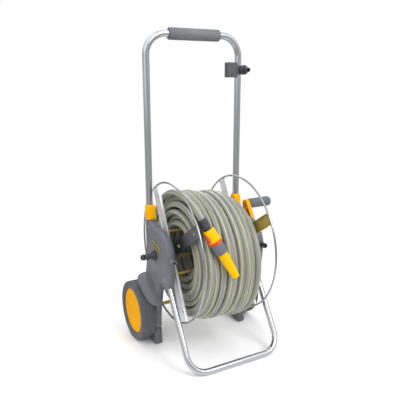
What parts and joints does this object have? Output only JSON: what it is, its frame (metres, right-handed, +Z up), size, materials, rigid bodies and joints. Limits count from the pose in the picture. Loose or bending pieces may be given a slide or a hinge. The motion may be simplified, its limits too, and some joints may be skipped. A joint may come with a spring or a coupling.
{
  "type": "garden hose reel cart",
  "caption": "Wheeled garden hose cart: a bent tube handle over plastic side panels, a cranked wire-flange reel of hose with its spray nozzle, and a bent tube stand.",
  "frame": {"origin": "middle of the cart's footprint at floor level, measured without the hose and what is on it", "axes": "+X along the reel shaft towards the crank, -Y towards the stand (the front), +Z up"},
  "size_m": [0.4912, 0.435, 0.9472],
  "materials": {
    "panel_plastic": "matte slate grey",
    "dark_plastic": "dark grey",
    "amber_plastic": "satin amber yellow",
    "nozzle_plastic": "satin yellow",
    "orange_plastic": "satin orange-red",
    "tyre_plastic": "matte dark grey",
    "tube_metal": "polished light metal",
    "galvanised": "galvanised sheet and wire",
    "passivated": "yellow passivated steel",
    "hose_vinyl": "grey hose with a fine knit and yellow stripes",
    "seal_rubber": "black rubber"
  },
  "bodies": {
    "frame": {"side_panel_outer_left": "panel_plastic", "side_panel_inner_left": "panel_plastic", "side_panel_outer_right": "panel_plastic", "side_panel_inner_right": "panel_plastic", "lock_collar_left": "amber_plastic", "lock_collar_right": "amber_plastic", "foot_left": "dark_plastic", "foot_right": "dark_plastic", "storage_stub_left": "panel_plastic", "storage_stub_right": "dark_plastic", "badge_plate_left": "amber_plastic", "badge_plate_right": "amber_plastic", "stand_tube": "tube_metal", "wheel_axle": "passivated", "axle_nut_left": "galvanised", "axle_nut_right": "galvanised", "inlet_spigot": "dark_plastic", "inlet_nut": "dark_plastic", "inlet_seal": "seal_rubber"},
    "handle": {"handle_tube": "tube_metal", "handle_grip": "panel_plastic", "holder_clip": "panel_plastic", "holder_boss": "dark_plastic", "holder_stub": "dark_plastic"},
    "reel": {"flange_ring_left": "galvanised", "flange_ring_right": "galvanised", "flange_bar_a_left": "galvanised", "flange_bar_a_right": "galvanised", "flange_bar_b_left": "galvanised", "flange_bar_b_right": "passivated", "hub_bush_left": "dark_plastic", "hub_bush_right": "dark_plastic", "spreader_rod_upper": "passivated", "spreader_rod_front": "passivated", "spreader_rod_lower": "passivated", "spreader_rod_rear": "passivated", "reel_shaft": "galvanised", "shaft_outlet": "dark_plastic", "hose_coil": "hose_vinyl", "hose_lead": "hose_vinyl", "hose_nut": "dark_plastic", "connector_core": "dark_plastic", "connector_ring": "orange_plastic", "nozzle_collar": "panel_plastic", "crank_arm": "amber_plastic", "crank_pin": "galvanised", "crank_screw": "galvanised"},
    "crank_handle": {"crank_grip": "panel_plastic"},
    "release_sleeve": {"connector_sleeve": "nozzle_plastic"},
    "spray_tip": {"nozzle_tip": "nozzle_plastic"},
    "wheel_left": {"tyre_left": "tyre_plastic", "wheel_rim_left": "dark_plastic", "hubcap_left": "amber_plastic"},
    "wheel_right": {"tyre_right": "tyre_plastic", "wheel_rim_right": "dark_plastic", "hubcap_right": "amber_plastic"}
  },
  "joints": [
    {"name": "reel_spin", "type": "hinge", "parent": "frame", "child": "reel", "pos_m": [-0.03075, 0, 0.306], "axis": [1, 0, 0], "continuous": true},
    {"name": "crank_grip_spin", "type": "hinge", "parent": "reel", "child": "crank_handle", "pos_m": [0.19975, 0.06035, 0.40448], "axis": [1, 0, 0], "continuous": true},
    {"name": "release_slide", "type": "slide", "parent": "reel", "child": "release_sleeve", "axis": [-0.4096, 0.3107, 0.8577], "range_m": [0, 0.004], "stiffness_N_per_m": 300, "springref_m": -0.004},
    {"name": "spray_twist", "type": "hinge", "parent": "reel", "child": "spray_tip", "pos_m": [-0.0764, -0.20149, 0.32642], "axis": [0.4096, -0.3107, -0.8577], "range_deg": [0, 270]},
    {"name": "wheel_left_spin", "type": "hinge", "parent": "frame", "child": "wheel_left", "pos_m": [-0.22075, 0.1045, 0.094], "axis": [1, 0, 0], "continuous": true},
    {"name": "wheel_right_spin", "type": "hinge", "parent": "frame", "child": "wheel_right", "pos_m": [0.15925, 0.1045, 0.094], "axis": [1, 0, 0], "continuous": true},
    {"name": "handle_slide", "type": "slide", "parent": "frame", "child": "handle", "axis": [0, 0, 1], "range_m": [-0.27, 0]}
  ]
}
